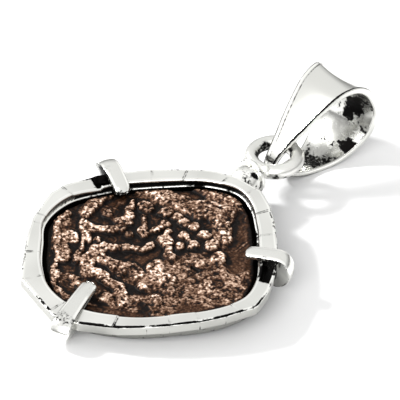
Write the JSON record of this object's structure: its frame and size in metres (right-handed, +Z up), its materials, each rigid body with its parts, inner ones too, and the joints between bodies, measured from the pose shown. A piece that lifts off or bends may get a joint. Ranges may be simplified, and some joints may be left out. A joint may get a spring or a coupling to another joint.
{
  "type": "coin pendant",
  "caption": "Worn bronze coin in a hammered silver prong setting, with a soldered ring and a tapered saddle-shaped bail, lying face up.",
  "frame": {"origin": "on the surface that the pendant lies on, under the middle of its box", "axes": "+Z up; +Y along the surface from the coin towards the bail; +X across the coin"},
  "size_m": [0.0176, 0.0316, 0.0065],
  "materials": {
    "silver": "hammered and polished, oxidised black in the recesses",
    "bright_silver": "polished outside, rough and oxidised inside",
    "bronze": "worn, pitted, dark brown patina with tan raised areas"
  },
  "bodies": {
    "root": {"setting": "silver", "coin": "bronze", "bail": "bright_silver"}
  },
  "joints": []
}
